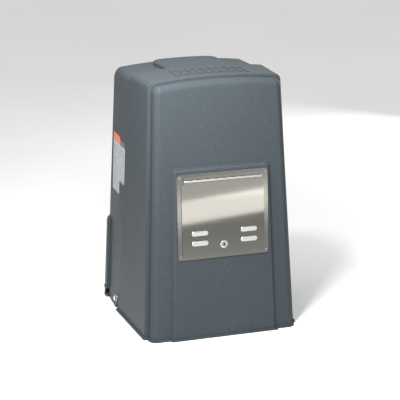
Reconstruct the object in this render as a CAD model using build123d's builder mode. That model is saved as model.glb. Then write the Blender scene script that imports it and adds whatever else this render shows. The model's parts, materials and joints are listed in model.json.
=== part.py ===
"""Gate and garage door operator: a moulded hood with a locked stainless access door over a chain drive machine.

Row frame, millimetres: origin at the centre of the anchor slot pattern on the underside of the base plate,
+Z up, the access door faces -Y and the drive chain runs along X behind the machine.
"""
from build123d import *

import os
from math import atan, cos, pi, sin

os.makedirs("parts", exist_ok=True)


def save(builder, name):
    """Label a finished piece and write it as its own STEP file."""
    builder.part.label = name
    export_step(builder.part, f"parts/{name}.step")


# ================================================================ hood
WALL = 4.0                      # moulded wall thickness
REF_Z = 691.0                   # height at which the upper outline is given
FRONT_Y = -225.0                # plane at the base from which the raised front panels are measured
BAND_FRONT_Y = -201.0           # front of the band at the base, behind the shield
FRONT_SETBACK = 46.5            # how far the front leans back over REF_Z
HALF_W_BASE, HALF_W_TOP, HALF_W_TOP_REAR = 216.0, 186.4, 194.5
BAND_REAR_BASE, BAND_REAR_TOP = 50.0, -20.0          # rear edge of the front band
CROWN_Z, CROWN_R = 703.0, 1500.0                     # barrel-shaped crown over the hood
REAR_DROP = 11.0                                     # the rear section sits this much lower
REAR_BASE = ((215.0, -20.0), (211.5, 100.0), (195.5, 232.0))    # half outline at the base
REAR_TOP = ((191.5, -60.0), (190.0, 50.0), (183.0, 174.0))      # half outline at REF_Z
REAR_CORNER, REAR_ROLL = 28.0, 56.0                  # plan corners, and the roll from top to back
SHOULDER_R, FRONT_EDGE_R, REAR_SHOULDER_R = 17.0, 3.0, 20.0
SKIRT_Z = 0.5                                        # the hood hangs this far above the floor
HEM_H, HEM_OUT = 5.0, 4.5
BEZEL_OUT, BEZEL_TOP = 16.5, 469.0                   # central band below the shield
BEZEL_HALF_BASE, BEZEL_HALF_TOP = 152.6, 139.0
BEAD_H, BEAD_R = 2.6, 2.0                            # low bead that outlines each raised panel
BEAD_INSET = 2.0                                     # the shield's bead follows the band's outline this far in
SHIELD_OUT, SHIELD_STEP, SHIELD_EDGE_R = 8.0, 7.0, 18.0         # deep rounded panel over the whole front
BEZEL_STEP, BEZEL_EDGE_R = 3.6, 7.0
BUMP_OUT, BUMP_Y, BUMP_TOP = 7.5, 176.0, 240.0       # swelling low on the back, over the chain wheels
LEAN = atan(FRONT_SETBACK / REF_Z)
BAND_OUT = (FRONT_Y - BAND_FRONT_Y) * cos(LEAN)      # the band's front, measured like the panels
LOFT_BOTTOM, LOFT_TOP = -20.0, 740.0


def at_height(base, top, z):
    """Straight-line change of a hood dimension from the base to REF_Z."""
    return base + (top - base) * z / REF_Z


def front_plane(out=0.0):
    """Plane parallel to the leaning front: x to the right, y up the slope, z outwards."""
    return Plane(
        origin=(0, FRONT_Y - out * cos(LEAN), out * sin(LEAN)),
        x_dir=(1, 0, 0),
        z_dir=(0, -cos(LEAN), sin(LEAN)),
    )


def under_crown(level):
    """Solid below the barrel-shaped crown."""
    with BuildPart() as crown:
        with Locations((0, 0, level - CROWN_R)):
            Cylinder(CROWN_R, 1000, rotation=(90, 0, 0))
    return crown.part


def band_solid(t):
    """Front band of the hood inset by t."""
    with BuildPart() as band:
        for z in (LOFT_BOTTOM, LOFT_TOP):
            front = at_height(BAND_FRONT_Y, BAND_FRONT_Y + FRONT_SETBACK, z) + t
            rear = at_height(BAND_REAR_BASE, BAND_REAR_TOP, z) - t
            half_front = at_height(HALF_W_BASE, HALF_W_TOP, z) - t
            half_rear = at_height(HALF_W_BASE, HALF_W_TOP_REAR, z) - t
            with BuildSketch(Plane.XY.offset(z)):
                Polygon((half_front, front), (half_rear, rear), (-half_rear, rear), (-half_front, front), align=None)
        loft(ruled=True)
        add(under_crown(CROWN_Z - t), mode=Mode.INTERSECT)
        shoulders = [e for e in band.edges() if e.center().Z > 650 and e.bounding_box().size.Y > 100]
        fillet(shoulders, radius=SHOULDER_R - t)
        front_face = band.faces().sort_by(Axis.Y)[0]
        front_rim = [e for e in front_face.edges() if e.center().Z > 0]
        fillet(front_rim, radius=max(FRONT_EDGE_R - t, 0.5))
    return band.part


def rear_solid(t):
    """Rear section of the hood inset by t; a negative t gives a slightly larger copy."""
    with BuildPart() as rear:
        for z in (LOFT_BOTTOM, LOFT_TOP):
            start, bend, last = [
                (at_height(b[0], a[0], z) - t, at_height(b[1], a[1], z)) for b, a in zip(REAR_BASE, REAR_TOP)
            ]
            last = (last[0], last[1] - t)
            with BuildSketch(Plane.XY.offset(z)) as section:
                with BuildLine():
                    ThreePointArc(start, bend, last)
                    Line(last, (-last[0], last[1]))
                    ThreePointArc((-last[0], last[1]), (-bend[0], bend[1]), (-start[0], start[1]))
                    Line((-start[0], start[1]), start)
                make_face()
                fillet(section.vertices().group_by(Axis.Y)[-1], radius=REAR_CORNER - t)
        loft(ruled=True)
        add(rolled_roof(CROWN_Z - REAR_DROP - t, t), mode=Mode.INTERSECT)
        shoulders = [e for e in rear.edges() if e.bounding_box().min.Z > 640 and abs(e.center().X) > 100
                     and e.bounding_box().size.Y > 100]
        fillet(shoulders, radius=REAR_SHOULDER_R - t)
    return rear.part


def rolled_roof(level, t):
    """Crowned roof that rolls down into the back of the hood."""

    def back(z):
        return at_height(REAR_BASE[2][1], REAR_TOP[2][1], z) - t + 0.2

    half_arc = 38.0
    axis = Axis((0, 0, CROWN_Z - CROWN_R), (0, 1, 0))
    with BuildPart() as roof:
        with BuildSketch(Plane.YZ) as profile:
            Polygon((-140, -30), (back(-30), -30), (back(level), level), (-140, level), align=None)
            fillet(profile.vertices().sort_by_distance((back(level), level, 0))[0], radius=REAR_ROLL - t)
        revolve(axis=axis, revolution_arc=2 * half_arc)
    return roof.part.rotate(axis, -half_arc)


def hump_solid(t):
    """Low hump on the crown, flush with the front band."""
    with BuildPart() as hump:
        with BuildSketch(Plane.XY.offset(600)) as outline:
            Polygon((-84 + t, -70), (84 - t, -70), (95 - t, 111 - t), (-95 + t, 111 - t), align=None)
            fillet(outline.vertices().group_by(Axis.Y)[-1], radius=26 - t)
        extrude(amount=150)
        add(under_crown(CROWN_Z - 0.6 - t), mode=Mode.INTERSECT)
        rim = [e for e in hump.edges() if e.center().Z > 650 and e.center().Y > 0]
        fillet(rim, radius=5.5 - t)
    return hump.part


def bump_solid(t):
    """Swelling low on the back of the hood."""
    with BuildPart() as bump:
        add(rear_solid(t - BUMP_OUT))
        with Locations((0, BUMP_Y + t + 100, BUMP_TOP / 2 - 50 - t)):
            Box(600, 200, BUMP_TOP + 100, mode=Mode.INTERSECT)
        top_rim = [e for e in bump.edges() if abs(e.center().Z - (BUMP_TOP - t)) < 0.5
                   and e.center().Y > BUMP_Y + t + 0.5]
        fillet(top_rim, radius=14.0 - t)
    return bump.part


def front_panel(half_base, half_top, top, corner, inset, start, out):
    """Raised panel on the leaning front between two offsets from the body front."""
    with BuildPart() as panel:
        with BuildSketch(front_plane(start)) as outline:
            with BuildLine():
                Polyline((-half_base, -40), (half_base, -40), (half_top, top[0]))
                ThreePointArc((half_top, top[0]), (0, top[1]), (-half_top, top[0]))
                Line((-half_top, top[0]), (-half_base, -40))
            make_face()
            fillet(outline.vertices().group_by(Axis.Y)[-1], radius=corner)
            offset(amount=-inset)
        extrude(amount=out - start)
    return panel.part


def shield(inset, start, out):
    return front_panel(
        HALF_W_BASE - BEAD_INSET, HALF_W_TOP - BEAD_INSET, (692.5, 704.0), 28.0, inset, start, out
    )


def bezel(inset, start, out):
    return front_panel(BEZEL_HALF_BASE, BEZEL_HALF_TOP, (BEZEL_TOP - 0.6, BEZEL_TOP), 14.0, inset, start, out)


def with_soft_edge(solid, radius):
    """Round the outer rim of a raised front panel."""
    with BuildPart() as soft:
        add(solid)
        face = soft.faces().sort_by(lambda f: f.normal_at().dot(front_plane().z_dir))[-1]
        rim = [e for e in face.edges() if e.center().Z > 0]
        fillet(rim, radius=radius)
    return soft.part


DOOR_X, DOOR_LOW, DOOR_HIGH = 116.5, 228.2, 425.7          # access door, measured up the slope
DOOR_BACK, DOOR_SHEET = 19.4, 1.5
FRAME_X, FRAME_LOW, FRAME_HIGH = 128.5, 219.8, 452.5
FRAME_BACK, FRAME_SHEET = 17.5, 1.5
OPENING_X, OPENING_LOW, OPENING_HIGH = 107.0, 233.5, 427.5
HINGE_S, HINGE_OUT, HINGE_R, PIN_R = 433.1, 22.3, 3.0, 1.5
KNUCKLES, KNUCKLE_PITCH, KNUCKLE_GAP = 18, 12.2, 0.6
RIVETS = [(x, s) for x in (-120.5, 120.5) for s in (229.5, 443.0)]
LOCK_S = 255.3
COVER_BOLT_Y, COVER_BOLT_Z = 66.0, 32.0
BOLT_SLOT_R, BOLT_SLOT_MOUTH, BOLT_SLOT_MOUTH_H = 5.0, 24.0, 8.0   # slots that drop over the cover bolts
SIDE_WALL_X, SIDE_CUT = 210.0, 28.0                          # where the side openings are cut, and how deep
CHAIN_Y, CHAIN_Z, CHAIN_SLOT_W, CHAIN_SLOT_H = 186.0, 15.8, 22.0, 17.5
LIP_X = 212.0
CHAIN_LIPS = ((28.0, 14.0, 5.5), (4.5, 14.0, 5.0))         # height, width and thickness of the lips of a slot

EMBLEM_AT, EMBLEM_L, EMBLEM_W = (5.0, -97.0), 206.0, 70.0     # raised gate emblem on the crown
EMBLEM_RAIL, EMBLEM_RAIL_PITCH = 6.0, 44.0
EMBLEM_BARS, EMBLEM_BAR_PITCH, EMBLEM_H = 10, 22.0, 1.5

with BuildPart() as hood_outside:
    add(band_solid(0.0))
    add(rear_solid(0.0))
    add(hump_solid(0.0))
    add(bump_solid(0.0))
    add(with_soft_edge(shield(0.0, BAND_OUT - 8, BAND_OUT + BEAD_H), BEAD_R))
    add(with_soft_edge(shield(SHIELD_STEP, BAND_OUT - 8, SHIELD_OUT), SHIELD_EDGE_R))
    add(with_soft_edge(bezel(0.0, 0.0, SHIELD_OUT + BEAD_H), BEAD_R))
    add(with_soft_edge(bezel(BEZEL_STEP, 0.0, BEZEL_OUT), BEZEL_EDGE_R))
    for side in (-1, 1):
        for z, width, height in CHAIN_LIPS:
            with Locations((side * (LIP_X - width / 2), CHAIN_Y, z)):
                Box(width, CHAIN_SLOT_W + 2, height)

with BuildPart() as hem:
    add(band_solid(-HEM_OUT))
    add(with_soft_edge(shield(SHIELD_STEP - HEM_OUT, BAND_OUT - 8, SHIELD_OUT + HEM_OUT), SHIELD_EDGE_R + HEM_OUT))
    add(bezel(BEZEL_STEP - HEM_OUT, 0.0, BEZEL_OUT + HEM_OUT))
    with Locations((0, 0, SKIRT_Z + HEM_H / 2)):
        Box(700, 700, HEM_H, mode=Mode.INTERSECT)

with BuildPart() as hood_inside:
    add(band_solid(WALL))
    add(rear_solid(WALL))
    add(hump_solid(WALL))
    add(bump_solid(WALL))
    add(with_soft_edge(shield(SHIELD_STEP + WALL, BAND_OUT - 12, SHIELD_OUT - WALL), SHIELD_EDGE_R - WALL))
    add(bezel(9.0, -6.0, BEZEL_OUT - WALL))

with BuildPart() as cover:
    add(hood_outside.part)
    add(hem.part)
    add(hood_inside.part, mode=Mode.SUBTRACT)
    with Locations((0, 0, SKIRT_Z - 50)):
        Box(700, 700, 100, mode=Mode.SUBTRACT)
    with BuildPart(mode=Mode.PRIVATE) as emblem:
        with BuildSketch(Plane.XY.offset(650)):
            with Locations(EMBLEM_AT):
                with GridLocations(0, EMBLEM_RAIL_PITCH, 1, 2):
                    Rectangle(EMBLEM_L, EMBLEM_RAIL)
                with GridLocations(EMBLEM_BAR_PITCH, 0, EMBLEM_BARS, 1):
                    Rectangle(EMBLEM_RAIL + 1, EMBLEM_W)
        extrude(amount=100)
        add(under_crown(CROWN_Z + EMBLEM_H), mode=Mode.INTERSECT)
        add(under_crown(CROWN_Z - 1.0), mode=Mode.SUBTRACT)
    add(emblem.part)
    # opening behind the access door, rivet holes
    with BuildSketch(front_plane(BEZEL_OUT + 2)):
        with Locations((0, (OPENING_LOW + OPENING_HIGH) / 2)):
            RectangleRounded(2 * OPENING_X, OPENING_HIGH - OPENING_LOW, 6)
        with Locations(*RIVETS):
            Circle(2.0)
    extrude(amount=-16, mode=Mode.SUBTRACT)
    # side openings: chain, and the slots that drop over the cover bolts
    for side in (-1, 1):
        with Locations((side * SIDE_WALL_X, CHAIN_Y, CHAIN_Z)):
            Box(2 * SIDE_CUT, CHAIN_SLOT_W, CHAIN_SLOT_H, mode=Mode.SUBTRACT)
        with Locations((side * SIDE_WALL_X, COVER_BOLT_Y, COVER_BOLT_Z / 2)):
            Box(SIDE_CUT, 2 * BOLT_SLOT_R, COVER_BOLT_Z, mode=Mode.SUBTRACT)
        with Locations((side * SIDE_WALL_X, COVER_BOLT_Y, COVER_BOLT_Z)):
            Cylinder(BOLT_SLOT_R, SIDE_CUT, rotation=(0, 90, 0), mode=Mode.SUBTRACT)
        with Locations((side * SIDE_WALL_X, COVER_BOLT_Y, BOLT_SLOT_MOUTH_H / 2)):
            Box(SIDE_CUT, BOLT_SLOT_MOUTH, BOLT_SLOT_MOUTH_H, mode=Mode.SUBTRACT)
save(cover, "cover")


# ================================================================ labels on the left side wall
def wall_label(y_low, y_high, z_low, z_high):
    """Thin label that follows the side wall of the rear section."""
    with BuildPart() as label:
        add(rear_solid(-0.7))
        add(rear_solid(-0.1), mode=Mode.SUBTRACT)
        with Locations((-200, (y_low + y_high) / 2, (z_low + z_high) / 2)):
            Box(60, y_high - y_low, z_high - z_low, mode=Mode.INTERSECT)
    return label


save(wall_label(70, 146, 335, 497), "rear_label")
save(wall_label(17, 67, 373, 490), "front_label")


# ================================================================ access door and its frame
def slope_locations(points, out):
    """Locations on the front plane at a given offset, from (x, distance up the slope) pairs."""
    return [front_plane(out).location * Location((x, s, 0)) for x, s in points]


with BuildPart() as frame_gasket:
    with BuildSketch(front_plane(BEZEL_OUT)):
        with Locations((0, (FRAME_LOW + FRAME_HIGH) / 2)):
            RectangleRounded(2 * FRAME_X - 6, FRAME_HIGH - FRAME_LOW - 6, 5)
        with Locations((0, (OPENING_LOW + OPENING_HIGH) / 2)):
            RectangleRounded(2 * OPENING_X, OPENING_HIGH - OPENING_LOW, 6, mode=Mode.SUBTRACT)
        with Locations(*RIVETS):
            Circle(2.0, mode=Mode.SUBTRACT)
    extrude(amount=FRAME_BACK - BEZEL_OUT)
save(frame_gasket, "frame_gasket")


def knuckle_positions(parity):
    """Centres of every second hinge knuckle."""
    first = -(KNUCKLES - 1) / 2 * KNUCKLE_PITCH
    return [(first + i * KNUCKLE_PITCH, HINGE_S) for i in range(KNUCKLES) if i % 2 == parity]


KNUCKLE_LEN = KNUCKLE_PITCH - KNUCKLE_GAP

with BuildPart() as door_frame:
    with BuildSketch(front_plane(FRAME_BACK)):
        with Locations((0, (FRAME_LOW + FRAME_HIGH) / 2)):
            RectangleRounded(2 * FRAME_X, FRAME_HIGH - FRAME_LOW, 7)
        with Locations((0, (OPENING_LOW + OPENING_HIGH) / 2)):
            RectangleRounded(2 * OPENING_X, OPENING_HIGH - OPENING_LOW, 6, mode=Mode.SUBTRACT)
        with Locations(*RIVETS):
            Circle(2.0, mode=Mode.SUBTRACT)
    extrude(amount=FRAME_SHEET)
    with Locations(*slope_locations([(0, HINGE_S + 8.5)], FRAME_BACK + FRAME_SHEET + 0.6)):
        Box(2 * 109.5, 10, 1.2)
    with Locations(*slope_locations(knuckle_positions(0), FRAME_BACK + FRAME_SHEET + 0.6)):
        with Locations((0, 2.6, 0)):
            Box(KNUCKLE_LEN, 4, 1.2)
    with Locations(*slope_locations(knuckle_positions(0), HINGE_OUT)):
        Cylinder(HINGE_R, KNUCKLE_LEN, rotation=(0, 90, 0))
    with Locations(*slope_locations([(0, HINGE_S)], HINGE_OUT)):
        Cylinder(PIN_R, 300, rotation=(0, 90, 0), mode=Mode.SUBTRACT)
save(door_frame, "door_frame")

with BuildPart() as hinge_pin:
    with Locations(*slope_locations([(0, HINGE_S)], HINGE_OUT)):
        Cylinder(PIN_R, 2 * 110.5, rotation=(0, 90, 0))
save(hinge_pin, "hinge_pin")

with BuildPart() as frame_rivets:
    with BuildSketch(front_plane(WALL + 8.5)):
        with Locations(*RIVETS):
            Circle(2.0)
    extrude(amount=FRAME_BACK + FRAME_SHEET - WALL - 8.5)
    with BuildSketch(front_plane(FRAME_BACK + FRAME_SHEET)):
        with Locations(*RIVETS):
            Circle(3.4)
    extrude(amount=1.5)
    heads = frame_rivets.faces().filter_by(lambda f: f.area > 30).sort_by(
        lambda f: f.center().dot(front_plane().z_dir))[-4:]
    fillet(heads.edges(), radius=1.2)
save(frame_rivets, "frame_rivets")

LOUVRES = [(x, s) for x in (-67.5, 71.5) for s in (263.5, 290.5)]
with BuildPart() as access_door:
    with BuildSketch(front_plane(DOOR_BACK)):
        with Locations((0, (DOOR_LOW + DOOR_HIGH) / 2)):
            RectangleRounded(2 * DOOR_X, DOOR_HIGH - DOOR_LOW, 4)
        with Locations((0, DOOR_HIGH + 1.0)):
            Rectangle(219, 4)
    extrude(amount=DOOR_SHEET)
    with BuildSketch(front_plane(13.2)):
        with Locations((0, (238.0 + 423.0) / 2)):
            RectangleRounded(208, 423.0 - 238.0, 4)
            RectangleRounded(205.6, 423.0 - 240.4, 3, mode=Mode.SUBTRACT)
    extrude(amount=DOOR_BACK - 13.2)
    with BuildSketch(front_plane(DOOR_BACK)):
        with Locations(*LOUVRES):
            SlotOverall(48, 14)
    extrude(amount=DOOR_SHEET + 3.2)
    hoods = access_door.faces().filter_by(GeomType.PLANE).sort_by(
        lambda f: f.center().dot(front_plane().z_dir))[-4:]
    fillet(hoods.edges(), radius=2.6)
    with BuildSketch(front_plane(DOOR_BACK)):
        with Locations(*LOUVRES):
            SlotOverall(44, 10)
    extrude(amount=3.4, mode=Mode.SUBTRACT)
    with Locations(*slope_locations(LOUVRES, DOOR_BACK + DOOR_SHEET + 1.0)):
        with Locations((0, -6, 0)):
            Box(32, 6, 1.6, mode=Mode.SUBTRACT)
    with Locations(*slope_locations(knuckle_positions(1), DOOR_BACK + DOOR_SHEET / 2)):
        with Locations((0, -3.5, 0)):
            Box(KNUCKLE_LEN, 7, DOOR_SHEET)
    with Locations(*slope_locations(knuckle_positions(1), HINGE_OUT)):
        Cylinder(HINGE_R, KNUCKLE_LEN, rotation=(0, 90, 0))
    with Locations(*slope_locations([(0, HINGE_S)], HINGE_OUT)):
        Cylinder(PIN_R + 0.05, 300, rotation=(0, 90, 0), mode=Mode.SUBTRACT)
    with BuildSketch(front_plane(DOOR_BACK - 1)):
        with Locations((0, LOCK_S)):
            Circle(9.5)
    extrude(amount=6, mode=Mode.SUBTRACT)
save(access_door, "access_door")


def lock_disc(start, out, radius):
    """Round part of the lock between two offsets along the lock axis."""
    with BuildSketch(front_plane(start)) as disc:
        with Locations((0, LOCK_S)):
            Circle(radius)
    extrude(disc.sketch, amount=out - start)


with BuildPart() as lock_housing:
    lock_disc(12.7, DOOR_BACK + DOOR_SHEET, 9.5)
    lock_disc(DOOR_BACK + DOOR_SHEET, 23.6, 10.25)
    rim = lock_housing.faces().sort_by(lambda f: f.center().dot(front_plane().z_dir))[-1]
    fillet(rim.edges(), radius=1.4)
    with BuildSketch(front_plane(10)):
        with Locations((0, LOCK_S)):
            Circle(6.05)
    extrude(amount=20, mode=Mode.SUBTRACT)
save(lock_housing, "lock_housing")

with BuildPart() as lock_nut:
    with BuildSketch(front_plane(15.4)):
        with Locations((0, LOCK_S)):
            RegularPolygon(13, 6)
            Circle(9.5, mode=Mode.SUBTRACT)
    extrude(amount=DOOR_BACK - 15.4)
save(lock_nut, "lock_nut")

with BuildPart() as lock_cylinder:
    lock_disc(12.2, 23.3, 6.0)
    with BuildSketch(front_plane(23.3)):
        with Locations((0, LOCK_S)):
            SlotOverall(7.4, 1.9, rotation=90)
            Rectangle(2.8, 2.6)
    extrude(amount=-8, mode=Mode.SUBTRACT)
save(lock_cylinder, "lock_cylinder")

with BuildPart() as lock_cam:
    with BuildSketch(front_plane(9.8)):
        with Locations((0, LOCK_S)):
            Circle(8)
        with Locations((14, LOCK_S)):
            SlotOverall(34, 13)
        with Locations((0, LOCK_S)):
            Circle(2.5, mode=Mode.SUBTRACT)
    extrude(amount=2.4)
save(lock_cam, "lock_cam")

with BuildPart() as cam_screw:
    lock_disc(9.8, 12.2, 2.5)
    with BuildSketch(front_plane(6.8)):
        with Locations((0, LOCK_S)):
            RegularPolygon(5, 6)
    extrude(amount=3.0)
save(cam_screw, "cam_screw")

# ================================================================ base plate and cover bolts
PLATE_T, PLATE_HALF, PLATE_Y = 6.0, 192.0, 213.0
ANCHOR_X, ANCHOR_Y, ANCHOR_R, ANCHOR_SLOT = 330.0, 290.0, 7.0, 36.0
EAR_X, EAR_T, EAR_L, EAR_H = 198.0, 4.0, 60.0, 48.0          # upright ears that take the cover bolts
FRONT_FLANGE_L, FRONT_FLANGE_H = 320.0, 36.0
COVER_BOLT_R, HEX_R = 4.0, 6.5
WASHER_X, WASHER_R, WASHER_T = 214.9, 8.5, 1.6
CONDUIT_Y, CONDUIT_L, CONDUIT_W = -60.0, 150.0, 90.0         # opening under the control box for the conduits

with BuildPart() as base_plate:
    with BuildSketch() as plan:
        Rectangle(2 * PLATE_HALF, 2 * PLATE_Y)
        chamfer(plan.vertices().group_by(Axis.Y)[-1], length=56)
        fillet(plan.vertices().group_by(Axis.Y)[0], radius=10)
        for side in (-1, 1):
            with Locations((side * (EAR_X - 8), COVER_BOLT_Y)):
                Rectangle(20, EAR_L)
        with GridLocations(ANCHOR_X, ANCHOR_Y, 2, 2):
            SlotOverall(ANCHOR_SLOT, 2 * ANCHOR_R, mode=Mode.SUBTRACT)
        with Locations((0, CONDUIT_Y)):
            RectangleRounded(CONDUIT_L, CONDUIT_W, 10, mode=Mode.SUBTRACT)
    extrude(amount=PLATE_T)
    for side in (-1, 1):
        with Locations((side * EAR_X, COVER_BOLT_Y, EAR_H / 2)):
            Box(EAR_T, EAR_L, EAR_H)
        with Locations((side * EAR_X, COVER_BOLT_Y, COVER_BOLT_Z)):
            Cylinder(COVER_BOLT_R, 10, rotation=(0, 90, 0), mode=Mode.SUBTRACT)
    with Locations((0, -PLATE_Y + EAR_T / 2, FRONT_FLANGE_H / 2)):
        Box(FRONT_FLANGE_L, EAR_T, FRONT_FLANGE_H)
save(base_plate, "base_plate")

with BuildPart() as cover_bolts:
    for side in (-1, 1):
        with Locations((side * EAR_X, COVER_BOLT_Y, COVER_BOLT_Z)):
            Cylinder(COVER_BOLT_R, 36, rotation=(0, 90, 0))
        with Locations((side * WASHER_X, COVER_BOLT_Y, COVER_BOLT_Z)):
            Cylinder(WASHER_R, WASHER_T, rotation=(0, 90, 0))
        for x, height in ((WASHER_X + 3.2, 5.0), (EAR_X - 5.4, 6.8)):
            with BuildSketch(Plane(origin=(side * x, COVER_BOLT_Y, COVER_BOLT_Z), z_dir=(1, 0, 0))):
                RegularPolygon(HEX_R, 6, major_radius=False)
            extrude(amount=height / 2, both=True)
save(cover_bolts, "cover_bolts")

# ================================================================ gearbox
AXIS_Z = 110.0                                   # output shaft height
WHEEL_Y, WORM_X = 125.0, -48.0
MODULE, WHEEL_TEETH = 3.0, 20
WORM_PITCH = pi * MODULE
HOUSING_X, HOUSING_Y, HOUSING_Z = (-84.0, 58.0), (92.0, 158.0), (56.0, 176.0)
SHAFT_R, SHAFT_BORE = 9.95, 10.0
MOTOR_SHAFT_R, MOTOR_BORE = 8.0, 8.05
POCKET_R, BEARING_R = 38.0, 21.0
COVER_SCREW_R, COVER_SCREWS = 45.0, 6


def y_cylinder(radius, start, end, x=0.0, z=AXIS_Z, mode=Mode.ADD):
    """Cylinder along Y between two stations."""
    with Locations((x, (start + end) / 2, z)):
        Cylinder(radius, end - start, rotation=(90, 0, 0), mode=mode)


def z_cylinder(radius, start, end, x=WORM_X, y=WHEEL_Y, mode=Mode.ADD):
    """Cylinder along Z between two heights."""
    with Locations((x, y, (start + end) / 2)):
        Cylinder(radius, end - start, mode=mode)


def span_box(x, y, z, mode=Mode.ADD):
    """Box from three (low, high) spans."""
    with Locations(((x[0] + x[1]) / 2, (y[0] + y[1]) / 2, (z[0] + z[1]) / 2)):
        Box(x[1] - x[0], y[1] - y[0], z[1] - z[0], mode=mode)


with BuildPart() as gearbox_housing:
    span_box(HOUSING_X, HOUSING_Y, HOUSING_Z)
    fillet(gearbox_housing.edges().filter_by(Axis.Z), radius=7)
    for low in (HOUSING_X[0], HOUSING_X[1] - 14):
        span_box((low, low + 14), (96, 154), (6, 57))
    span_box((HOUSING_X[0] - 18, HOUSING_X[1] + 18), HOUSING_Y, (6, 15))
    span_box((HOUSING_X[0] + 14, HOUSING_X[1] - 14), (80, 170), (0, 30), mode=Mode.SUBTRACT)
    z_cylinder(72, 166, 176)
    for z in (74, 90, 130, 146):
        span_box((HOUSING_X[1] - 2, HOUSING_X[1] + 4), (98, 152), (z, z + 4))
    y_cylinder(POCKET_R, 60, 140, mode=Mode.SUBTRACT)
    z_cylinder(26, 72, 200, mode=Mode.SUBTRACT)
    y_cylinder(BEARING_R, 138, 152, mode=Mode.SUBTRACT)
    y_cylinder(14, 150, 170, mode=Mode.SUBTRACT)
    z_cylinder(16, 60, 74, mode=Mode.SUBTRACT)
    with Locations((0, 92, AXIS_Z)):
        with Locations(Rotation(90, 0, 0)):
            with PolarLocations(COVER_SCREW_R, COVER_SCREWS, start_angle=30):
                Cylinder(2.5, 24, mode=Mode.SUBTRACT)
    with Locations((WORM_X, WHEEL_Y, 170)):
        with PolarLocations(66, 4, start_angle=45):
            Cylinder(3, 30, mode=Mode.SUBTRACT)
    with Locations((-13, 125, 10)):
        with GridLocations(160, 40, 2, 2):
            Cylinder(4.5, 20, mode=Mode.SUBTRACT)
save(gearbox_housing, "gearbox_housing")

with BuildPart() as gearbox_feet_bolts:
    with Locations((-13, 125, 10.5)):
        with GridLocations(160, 40, 2, 2):
            Cylinder(4.5, 9)
    with BuildSketch(Plane.XY.offset(15)):
        with Locations((-13, 125)):
            with GridLocations(160, 40, 2, 2):
                RegularPolygon(6.5, 6, major_radius=False)
    extrude(amount=5.5)
save(gearbox_feet_bolts, "gearbox_foot_bolts")

with BuildPart() as gearbox_cover:
    y_cylinder(52, 80, 92)
    fillet(gearbox_cover.edges().sort_by(Axis.Y)[0], radius=4)
    y_cylinder(26, 77, 82)
    y_cylinder(BEARING_R, 82, 100, mode=Mode.SUBTRACT)
    y_cylinder(14, 70, 90, mode=Mode.SUBTRACT)
    with Locations((0, 90, AXIS_Z)):
        with Locations(Rotation(90, 0, 0)):
            with PolarLocations(COVER_SCREW_R, COVER_SCREWS, start_angle=30):
                Cylinder(2.5, 40, mode=Mode.SUBTRACT)
save(gearbox_cover, "gearbox_cover")

with BuildPart() as gearbox_screws:
    with Locations((0, 90, AXIS_Z)):
        with Locations(Rotation(90, 0, 0)):
            with PolarLocations(COVER_SCREW_R, COVER_SCREWS, start_angle=30):
                Cylinder(2.5, 20)
            with Locations((0, 0, 12.4)):
                with PolarLocations(COVER_SCREW_R, COVER_SCREWS, start_angle=30):
                    Cylinder(4.2, 4.8)
                    with Locations((0, 0, 1.6)):
                        Cylinder(2.0, 2.0, mode=Mode.SUBTRACT)
save(gearbox_screws, "gearbox_screws")

with BuildPart() as output_bearings:
    for start, end in ((82, 91.5), (141, 152)):
        y_cylinder(BEARING_R, start, end)
        y_cylinder(SHAFT_BORE, start - 1, end + 1, mode=Mode.SUBTRACT)
save(output_bearings, "output_bearings")

with BuildPart() as output_shaft:
    y_cylinder(SHAFT_R, 54, 206)
    chamfer(output_shaft.edges().filter_by(GeomType.CIRCLE), length=1.2)
    span_box((-3, 3), (172, 200), (AXIS_Z + 6, AXIS_Z + 12.5))
save(output_shaft, "output_shaft")


def trapezoid_teeth(teeth, root_r, tip_r, root_w, tip_w, start, end, x=0.0, first=0.0):
    """Straight gear teeth around an axis along Y."""
    with BuildSketch(Plane(origin=(x, start, AXIS_Z), x_dir=(1, 0, 0), z_dir=(0, 1, 0))) as ring:
        with PolarLocations(0, teeth, start_angle=first):
            Polygon((root_r - 1, root_w / 2), (root_r - 1, -root_w / 2), (tip_r, -tip_w / 2), (tip_r, tip_w / 2),
                    align=None)
    extrude(ring.sketch, amount=end - start)


WHEEL_ROOT, WHEEL_TIP = 26.4, 33.0
with BuildPart() as worm_wheel:
    y_cylinder(WHEEL_ROOT, 117, 133)
    y_cylinder(18, 111, 139)
    trapezoid_teeth(WHEEL_TEETH, WHEEL_ROOT, WHEEL_TIP, 4.2, 2.0, 117, 133, first=9)
    y_cylinder(SHAFT_R, 100, 150, mode=Mode.SUBTRACT)
save(worm_wheel, "worm_wheel")

SPROCKET_TEETH, CHAIN_PITCH, ROLLER_R = 22, 12.7, 4.1
SPROCKET_R = CHAIN_PITCH / (2 * sin(pi / SPROCKET_TEETH))
with BuildPart() as drive_sprocket:
    y_cylinder(SPROCKET_R + 3.6, CHAIN_Y - 3.2, CHAIN_Y + 3.2)
    chamfer(drive_sprocket.edges().filter_by(GeomType.CIRCLE), length=1.4)
    with BuildSketch(Plane(origin=(0, CHAIN_Y - 5, AXIS_Z), x_dir=(1, 0, 0), z_dir=(0, 1, 0))):
        with PolarLocations(SPROCKET_R, SPROCKET_TEETH):
            SlotCenterPoint((2.5, 0), (6.5, 0), 2 * ROLLER_R)
    extrude(amount=10, mode=Mode.SUBTRACT)
    y_cylinder(19, 170, 200)
    y_cylinder(SHAFT_R, 160, 210, mode=Mode.SUBTRACT)
    span_box((-3, 3), (160, 200), (AXIS_Z + 6, AXIS_Z + 12.5), mode=Mode.SUBTRACT)
    with Locations((0, CHAIN_Y, AXIS_Z)):
        with Locations(Rotation(90, 0, 0)):
            with PolarLocations(30, 5):
                Cylinder(6, 20, mode=Mode.SUBTRACT)
save(drive_sprocket, "drive_sprocket")

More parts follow.
